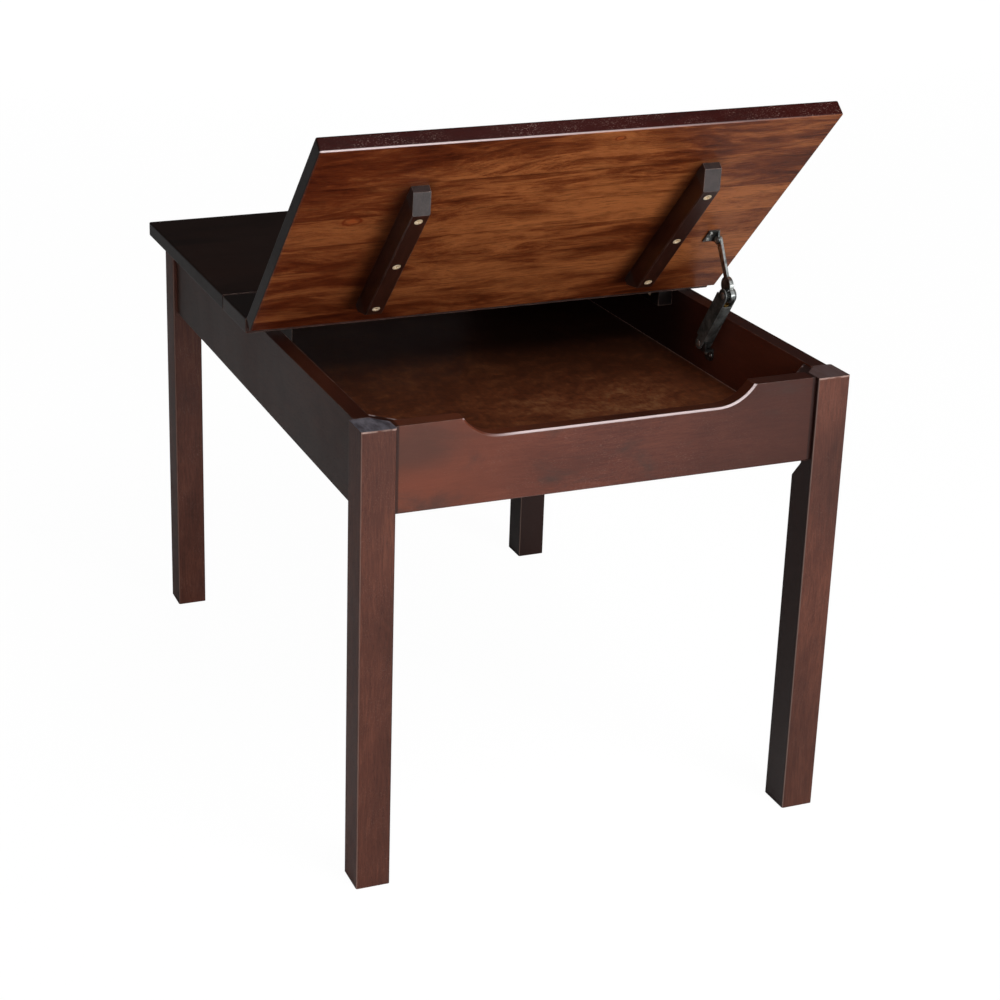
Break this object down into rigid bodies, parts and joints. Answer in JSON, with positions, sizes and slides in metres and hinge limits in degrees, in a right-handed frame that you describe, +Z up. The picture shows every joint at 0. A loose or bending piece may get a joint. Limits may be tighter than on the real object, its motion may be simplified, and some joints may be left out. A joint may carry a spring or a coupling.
{
  "type": "lift top end table",
  "caption": "Rectangular dark wood end table on square legs, with a storage bin under hinged lids on each side of a fixed centre board, one lid raised on a sprung stay",
  "frame": {"origin": "on the floor, midway between the four legs", "axes": "+Z up; +X to the right, along the hinges; +Y to the rear; the raised lid is in front"},
  "size_m": [0.603, 0.8015, 0.8158],
  "materials": {
    "stained_wood": "dark espresso stain under satin lacquer",
    "block_wood": "dark stain, unpolished",
    "bin_panel": "dark stained veneered panel, satin",
    "zinc_steel": "bright zinc plate",
    "brass": "pale brass plate",
    "black_steel": "black electrophoretic coat, satin",
    "spring_steel": "oiled spring wire",
    "bronze": "turned bronze, greased"
  },
  "bodies": {
    "frame": {"leg_front_left": "stained_wood", "leg_front_right": "stained_wood", "leg_rear_left": "stained_wood", "leg_rear_right": "stained_wood", "apron_front": "stained_wood", "apron_rear": "stained_wood", "apron_left": "stained_wood", "apron_right": "stained_wood", "corner_block_front_left": "block_wood", "corner_block_front_right": "block_wood", "corner_block_rear_left": "block_wood", "corner_block_rear_right": "block_wood", "hanger_bolts": "zinc_steel", "hanger_washers": "zinc_steel", "hanger_nuts": "zinc_steel", "corner_block_screws": "zinc_steel", "bin_floor": "bin_panel", "centre_cleat_left": "block_wood", "centre_cleat_right": "block_wood", "centre_cleat_screws": "brass", "centre_board": "stained_wood", "hinge_leaves_centre_front": "brass", "hinge_leaves_centre_rear": "brass", "stay_foot_front": "black_steel", "stay_foot_rear": "black_steel"},
    "front_lid": {"lid_front": "stained_wood", "batten_front_left": "stained_wood", "batten_front_right": "stained_wood", "batten_screws_front": "brass", "hinge_leaves_lid_front": "brass", "stay_lid_bracket_front": "black_steel"},
    "front_stay_housing": {"stay_housing_front": "black_steel", "stay_spring_front": "spring_steel"},
    "front_stay_arm": {"stay_arm_front": "black_steel"},
    "front_stay_plunger": {"stay_plunger_front": "bronze"},
    "rear_lid": {"lid_rear": "stained_wood", "batten_rear_left": "stained_wood", "batten_rear_right": "stained_wood", "batten_screws_rear": "brass", "hinge_leaves_lid_rear": "brass", "stay_lid_bracket_rear": "black_steel"},
    "rear_stay_housing": {"stay_housing_rear": "black_steel", "stay_spring_rear": "spring_steel"},
    "rear_stay_arm": {"stay_arm_rear": "black_steel"},
    "rear_stay_plunger": {"stay_plunger_rear": "bronze"}
  },
  "joints": [
    {"name": "hinge_front", "type": "hinge", "parent": "frame", "child": "front_lid", "pos_m": [0, -0.048, 0.5542], "axis": [1, 0, 0], "range_deg": [0, 47]},
    {"name": "hinge_rear", "type": "hinge", "parent": "frame", "child": "rear_lid", "pos_m": [0, 0.048, 0.5542], "axis": [1, 0, 0], "range_deg": [0, 47]},
    {"name": "front_stay_foot", "type": "hinge", "parent": "frame", "child": "front_stay_housing", "pos_m": [0.247, -0.14, 0.494], "axis": [1, 0, 0], "range_deg": [0, 64.42]},
    {"name": "front_stay_lid_pivot", "type": "hinge", "parent": "front_lid", "child": "front_stay_arm", "pos_m": [0.247, -0.15507, 0.62664], "axis": [1, 0, 0], "range_deg": [-69.16, 0]},
    {"name": "front_stay_spring", "type": "slide", "parent": "front_stay_housing", "child": "front_stay_plunger", "axis": [0, 0.546, -0.8378], "range_m": [0, 0.01121], "deforming": ["stay_spring_front"]},
    {"name": "rear_stay_foot", "type": "hinge", "parent": "frame", "child": "rear_stay_housing", "pos_m": [-0.247, 0.14, 0.494], "axis": [1, 0, 0], "range_deg": [0, 64.42]},
    {"name": "rear_stay_lid_pivot", "type": "hinge", "parent": "rear_lid", "child": "rear_stay_arm", "pos_m": [-0.247, 0.174, 0.5253], "axis": [1, 0, 0], "range_deg": [-69.16, 0]},
    {"name": "rear_stay_spring", "type": "slide", "parent": "rear_stay_housing", "child": "rear_stay_plunger", "axis": [0, 0.9914, -0.1306], "range_m": [0, 0.01121], "deforming": ["stay_spring_rear"]}
  ],
  "couplings": [
    {"joint": "front_stay_foot", "follows": "hinge_front", "ratio": 1.3705},
    {"joint": "front_stay_lid_pivot", "follows": "hinge_front", "ratio": -1.4714},
    {"joint": "front_stay_spring", "follows": "hinge_front", "m_per_rad": 0.013653},
    {"joint": "rear_stay_foot", "follows": "hinge_rear", "ratio": 1.3705},
    {"joint": "rear_stay_lid_pivot", "follows": "hinge_rear", "ratio": -1.4714},
    {"joint": "rear_stay_spring", "follows": "hinge_rear", "m_per_rad": 0.013653}
  ]
}
